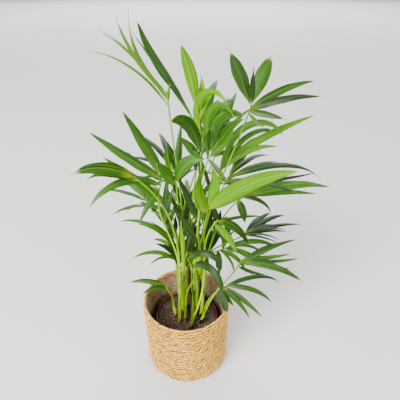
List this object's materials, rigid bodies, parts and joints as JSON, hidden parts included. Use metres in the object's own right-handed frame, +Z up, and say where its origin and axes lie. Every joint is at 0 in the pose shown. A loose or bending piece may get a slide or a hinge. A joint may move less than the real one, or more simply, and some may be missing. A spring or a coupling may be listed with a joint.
{
  "type": "potted areca palm",
  "caption": "Young areca palm: a clump of slender stems with arching feathery fronds, growing in a plastic nursery pot inside a lined woven seagrass basket.",
  "frame": {"origin": "middle of the basket's flat underside, which is its mount underside", "axes": "+Z up along the plant's height; the picture looks along +Y and has +X to the right"},
  "size_m": [0.6085, 0.4488, 0.9072],
  "materials": {
    "seagrass": "matte woven fibre",
    "clear_film": "clear wrinkled film",
    "terracotta_plastic": "satin",
    "potting_soil": "matte granular",
    "green_sheath": "satin",
    "green_leaf": "semi-gloss",
    "young_leaf": "semi-gloss",
    "dark_leaf": "semi-gloss"
  },
  "bodies": {
    "root": {"basket": "seagrass", "liner": "clear_film", "nursery_pot": "terracotta_plastic", "soil": "potting_soil", "stem_front_left": "green_sheath", "stem_left": "green_sheath", "stem_middle_left": "green_sheath", "stem_back_left": "green_sheath", "stem_middle": "green_sheath", "stem_front": "green_sheath", "stem_middle_right": "green_sheath", "stem_right": "green_sheath", "stem_seedling_left": "green_sheath", "stem_seedling_front": "green_sheath", "stem_seedling_middle": "green_sheath", "stem_seedling_right": "green_sheath", "stem_back": "green_sheath", "stem_back_middle": "green_sheath", "stem_back_right": "green_sheath", "frond_plume_left": "green_leaf", "frond_plume_back": "dark_leaf", "frond_spear_centre": "young_leaf", "frond_folded_left": "dark_leaf", "frond_dark_centre": "dark_leaf", "frond_long_right": "green_leaf", "frond_fan_right": "green_leaf", "frond_bright_front": "young_leaf", "frond_fan_left": "green_leaf", "frond_bright_left": "young_leaf", "frond_dark_left": "dark_leaf", "frond_young_spear": "young_leaf", "frond_two_leaf": "dark_leaf", "frond_low_left": "dark_leaf", "frond_seedling_left": "dark_leaf", "frond_low_front": "dark_leaf", "frond_rim_right": "green_leaf", "frond_low_right": "green_leaf", "frond_arched_front": "young_leaf", "frond_level_right": "green_leaf", "frond_mid_right": "green_leaf", "frond_back_low_right": "green_leaf", "frond_dark_low_right": "dark_leaf", "frond_dark_inner": "dark_leaf", "frond_back_left": "green_leaf", "frond_back_centre": "green_leaf", "frond_back_high": "green_leaf", "frond_back_low": "green_leaf", "frond_back_right": "green_leaf", "frond_back_far_left": "green_leaf"}
  },
  "joints": []
}
